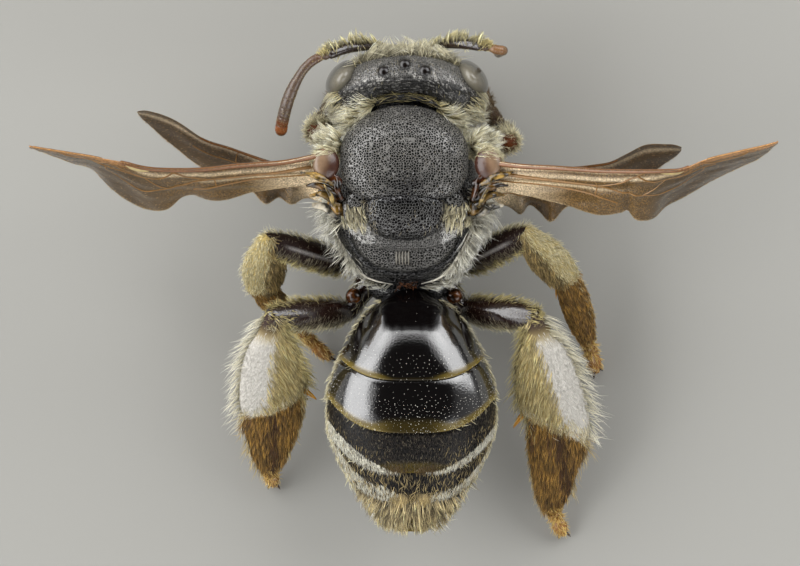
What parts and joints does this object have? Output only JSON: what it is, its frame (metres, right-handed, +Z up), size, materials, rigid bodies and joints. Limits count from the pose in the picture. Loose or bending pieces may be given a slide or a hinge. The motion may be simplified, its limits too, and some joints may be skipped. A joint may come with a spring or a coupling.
{
  "type": "bee",
  "caption": "Small black solitary bee standing on its feet with its wings half spread, hairy legs and pale bands across a pointed abdomen.",
  "frame": {"origin": "on the floor under the middle of the bee's box", "axes": "-Y the way the head faces, +X the bee's own left, +Z up"},
  "size_m": [0.0122, 0.0086, 0.0049],
  "materials": {
    "black_chitin": "black chitin, glossy on the abdomen and densely pitted on head and thorax",
    "brown_chitin": "polished dark red-brown chitin",
    "amber_chitin": "thin amber chitin that lets some light through",
    "cornea": "smooth grey eye of many small lenses",
    "wing_membrane": "clear smoky brown membrane with dark veins",
    "pale_hair": "short stiff hair, cream to straw yellow and ash white"
  },
  "bodies": {
    "root": {"abdomen_1": "black_chitin", "abdomen_2": "black_chitin", "abdomen_3": "black_chitin", "abdomen_4": "black_chitin", "abdomen_5": "black_chitin", "abdomen_6": "black_chitin", "basitarsus_front_left": "pale_hair", "basitarsus_front_right": "pale_hair", "basitarsus_hind_left": "brown_chitin", "basitarsus_hind_right": "brown_chitin", "basitarsus_middle_left": "pale_hair", "basitarsus_middle_right": "pale_hair", "coxa_front_left": "black_chitin", "coxa_front_right": "black_chitin", "coxa_hind_left": "black_chitin", "coxa_hind_right": "black_chitin", "coxa_middle_left": "black_chitin", "coxa_middle_right": "black_chitin", "eye_left": "cornea", "eye_right": "cornea", "femur_front_left": "brown_chitin", "femur_front_right": "brown_chitin", "femur_hind_left": "brown_chitin", "femur_hind_right": "brown_chitin", "femur_middle_left": "brown_chitin", "femur_middle_right": "brown_chitin", "flagellum_left": "amber_chitin", "flagellum_right": "amber_chitin", "forewing_left": "wing_membrane", "forewing_right": "wing_membrane", "head": "black_chitin", "hindwing_left": "wing_membrane", "hindwing_right": "wing_membrane", "mandible_left": "brown_chitin", "mandible_right": "brown_chitin", "neck": "black_chitin", "scape_left": "brown_chitin", "scape_right": "brown_chitin", "tarsus_front_left": "amber_chitin", "tarsus_front_right": "amber_chitin", "tarsus_hind_left": "amber_chitin", "tarsus_hind_right": "amber_chitin", "tarsus_middle_left": "amber_chitin", "tarsus_middle_right": "amber_chitin", "tegula_left": "amber_chitin", "tegula_right": "amber_chitin", "thorax_front": "black_chitin", "thorax_propodeum": "black_chitin", "thorax_scutellum": "black_chitin", "tibia_front_left": "pale_hair", "tibia_front_right": "pale_hair", "tibia_hind_left": "pale_hair", "tibia_hind_right": "pale_hair", "tibia_middle_left": "pale_hair", "tibia_middle_right": "pale_hair", "waist": "black_chitin"}
  },
  "joints": []
}
